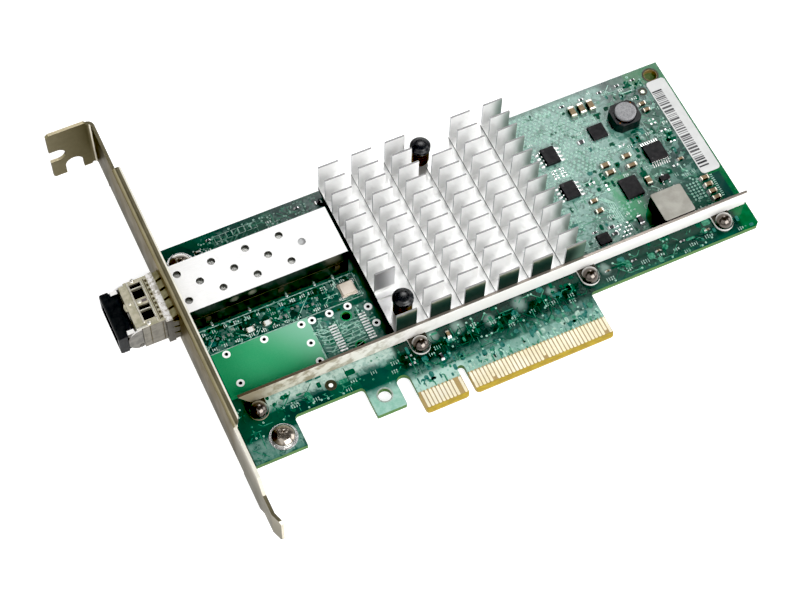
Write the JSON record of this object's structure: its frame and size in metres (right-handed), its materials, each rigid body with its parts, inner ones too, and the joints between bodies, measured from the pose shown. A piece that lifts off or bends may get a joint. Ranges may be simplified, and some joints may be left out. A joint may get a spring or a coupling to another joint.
{
  "type": "network interface card",
  "caption": "Expansion card with edge contacts, full-height mounting bracket, finned heat sink, stiffener bar and a caged plug-in optical transceiver for wired networking.",
  "frame": {"origin": "centre of the key notch at the tips of the edge contacts, on the solder side", "axes": "+X from the bracket to the far end of the board, +Y from the edge contacts to the top edge, +Z out of the component side"},
  "size_m": [0.1625, 0.12, 0.0184],
  "materials": {
    "laminate": "green solder mask, glossy",
    "bracket_steel": "nickel-plated sheet, satin",
    "screw_steel": "nickel-plated",
    "cage_steel": "bright tinned sheet",
    "collar_steel": "bright spring sheet",
    "black_plastic": "moulded black",
    "contact_gold": "gold-plated",
    "casting": "plated zinc casting, satin",
    "cover_steel": "thin bright sheet",
    "small_board": "green solder mask",
    "barrel_steel": "turned steel",
    "bail_steel": "stamped sheet, satin",
    "grip_plastic": "moulded black",
    "pin_steel": "drawn wire",
    "sink_aluminium": "clear matte anodised",
    "pad_rubber": "soft filled pad",
    "chip_black": "moulded package",
    "spring_brass": "brass wire",
    "bar_steel": "plated sheet, satin",
    "rivet_steel": "polished dome",
    "ferrite": "sintered dark",
    "ferrite_grey": "sintered grey",
    "tinned_lead": "tinned",
    "capacitor_ceramic": "tan ceramic with tinned ends",
    "resistor_ceramic": "black film on ceramic",
    "can_metal": "bright lid",
    "label_paper": "white label"
  },
  "bodies": {
    "card": {"circuit_board": "laminate", "mounting_bracket": "bracket_steel", "bracket_screws": "screw_steel", "cage_shell": "cage_steel", "cage_floor": "cage_steel", "spring_collar": "collar_steel", "host_connector": "black_plastic", "connector_contacts": "contact_gold", "transceiver_housing": "casting", "transceiver_cover": "cover_steel", "transceiver_board": "small_board", "transmit_optics": "barrel_steel", "receive_optics": "barrel_steel", "bail_pin": "pin_steel", "heat_sink": "sink_aluminium", "thermal_pad": "pad_rubber", "controller_chip": "chip_black", "push_pins": "black_plastic", "push_pin_springs": "spring_brass", "stiffener_bar": "bar_steel", "stiffener_rivets": "rivet_steel", "round_inductor_base": "ferrite", "round_inductor_core": "ferrite_grey", "square_inductor": "ferrite_grey", "inductor_terminals": "tinned_lead", "eight_lead_chips": "chip_black", "gull_wing_chip": "chip_black", "leadless_chips": "chip_black", "small_transistors": "chip_black", "chip_leads": "tinned_lead", "ceramic_capacitors": "capacitor_ceramic", "chip_resistors": "resistor_ceramic", "crystal_can": "can_metal", "board_label": "label_paper"},
    "bail": {"bail_arms": "bail_steel", "bail_grip": "grip_plastic"},
    "latch": {"latch_lever": "pin_steel"}
  },
  "joints": [
    {"name": "bail_hinge", "type": "hinge", "parent": "card", "child": "bail", "pos_m": [-0.0689, 0.0513, 0.0039], "axis": [0, -1, 0], "range_deg": [0, 90]},
    {"name": "latch_hinge", "type": "hinge", "parent": "card", "child": "latch", "pos_m": [-0.0585, 0.0513, 0.0029], "axis": [0, -1, 0], "range_deg": [0, 5]}
  ],
  "couplings": [
    {"joint": "latch_hinge", "follows": "bail_hinge", "ratio": 0.055556}
  ]
}
